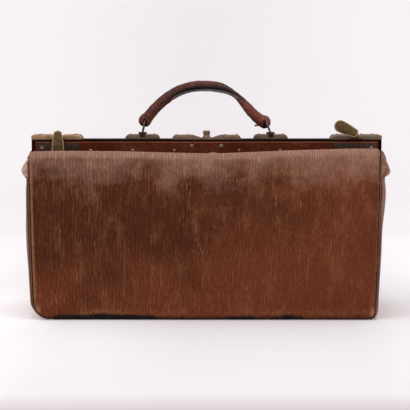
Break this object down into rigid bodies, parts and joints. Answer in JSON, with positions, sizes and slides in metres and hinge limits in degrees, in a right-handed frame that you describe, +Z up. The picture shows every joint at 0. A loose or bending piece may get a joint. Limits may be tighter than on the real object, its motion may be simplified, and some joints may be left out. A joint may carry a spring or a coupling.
{
  "type": "gladstone bag",
  "caption": "Long top-opening leather travel bag on a folding two-jaw steel frame, with brass end plates, swing catches, sliding lock and rolled handle.",
  "frame": {"origin": "middle of the flat base, on the floor", "axes": "+X along the bag to the right seen from the front, +Y to the back, +Z up"},
  "size_m": [0.525, 0.21, 0.3407],
  "materials": {
    "body_leather": "worn grained leather",
    "end_leather": "worn creased leather",
    "welt_leather": "dark piping",
    "red_leather": "smooth red-brown leather",
    "handle_leather": "rubbed rolled leather",
    "japanned_steel": "black japanned steel",
    "old_brass": "dull tarnished brass",
    "brass_wire": "dull brass wire",
    "dark_plate": "dark bronzed plate",
    "plain_steel": "worn plated steel",
    "lock_steel": "plain sheet steel",
    "lining_cloth": "buff twill",
    "board": "pressed pulp board",
    "rope_core": "twisted cord core"
  },
  "bodies": {
    "bag_body": {"base_panel": "body_leather", "base_board": "board", "lining": "lining_cloth", "front_panel": "body_leather", "rear_panel": "body_leather", "left_gusset": "end_leather", "right_gusset": "end_leather", "front_welts": "welt_leather", "rear_welts": "welt_leather", "front_shoulder": "body_leather", "rear_shoulder": "body_leather", "left_gusset_fold": "end_leather", "right_gusset_fold": "end_leather", "left_hinge_pin": "plain_steel", "right_hinge_pin": "plain_steel"},
    "front_jaw": {"front_frame": "japanned_steel", "front_frame_cover": "red_leather", "front_frame_rivets": "plain_steel", "front_left_end_plate": "old_brass", "front_right_end_plate": "old_brass", "front_plate_rivets": "old_brass", "left_catch_face_plate": "dark_plate", "right_catch_face_plate": "dark_plate", "catch_plate_screws": "plain_steel", "left_catch_pin": "plain_steel", "right_catch_pin": "plain_steel", "lock_plate": "old_brass", "lock_case": "lock_steel", "lock_screws": "plain_steel"},
    "rear_jaw": {"rear_frame": "japanned_steel", "rear_frame_cover": "red_leather", "rear_frame_rivets": "plain_steel", "rear_left_end_plate": "old_brass", "rear_right_end_plate": "old_brass", "rear_plate_rivets": "old_brass", "left_handle_plate": "old_brass", "right_handle_plate": "old_brass", "left_staple": "brass_wire", "right_staple": "brass_wire", "lock_hasp": "lock_steel"},
    "lock_slide": {"lock_knob": "old_brass", "lock_bolt": "lock_steel"},
    "left_catch": {"left_catch_link": "old_brass", "left_catch_rivet": "old_brass"},
    "left_paddle": {"left_catch_paddle": "old_brass"},
    "right_catch": {"right_catch_link": "old_brass", "right_catch_rivet": "old_brass"},
    "right_paddle": {"right_catch_paddle": "old_brass"},
    "handle": {"left_handle_ring": "brass_wire", "right_handle_ring": "brass_wire", "left_handle_loop": "handle_leather", "right_handle_loop": "handle_leather", "handle_core": "rope_core", "handle_cover": "handle_leather"}
  },
  "joints": [
    {"name": "front_jaw_open", "type": "hinge", "parent": "bag_body", "child": "front_jaw", "pos_m": [0, 0, 0.19], "axis": [1, 0, 0], "range_deg": [0, 50], "deforming": ["front_shoulder", "left_gusset_fold", "right_gusset_fold"]},
    {"name": "rear_jaw_open", "type": "hinge", "parent": "bag_body", "child": "rear_jaw", "pos_m": [0, 0, 0.19], "axis": [-1, 0, 0], "range_deg": [0, 50], "deforming": ["rear_shoulder"]},
    {"name": "lock_knob_slide", "type": "slide", "parent": "front_jaw", "child": "lock_slide", "axis": [1, 0, 0], "range_m": [0, 0.005]},
    {"name": "left_catch_swing", "type": "hinge", "parent": "front_jaw", "child": "left_catch", "pos_m": [-0.2145, -0.032, 0.2555], "axis": [-1, 0, 0], "range_deg": [-20, 90]},
    {"name": "left_paddle_swivel", "type": "hinge", "parent": "left_catch", "child": "left_paddle", "pos_m": [-0.2145, -0.032, 0.2615], "axis": [0, 1, 0], "range_deg": [-70, 70]},
    {"name": "right_catch_swing", "type": "hinge", "parent": "front_jaw", "child": "right_catch", "pos_m": [0.2145, -0.032, 0.2555], "axis": [-1, 0, 0], "range_deg": [-180, 90]},
    {"name": "right_paddle_swivel", "type": "hinge", "parent": "right_catch", "child": "right_paddle", "pos_m": [0.2145, -0.032, 0.2615], "axis": [0, 1, 0], "range_deg": [-3, 133]},
    {"name": "handle_swing", "type": "hinge", "parent": "rear_jaw", "child": "handle", "pos_m": [0, 0.01165, 0.2607], "axis": [1, 0, 0], "range_deg": [-55, 55]}
  ],
  "couplings": [
    {"joint": "rear_jaw_open", "follows": "front_jaw_open", "ratio": 1}
  ]
}
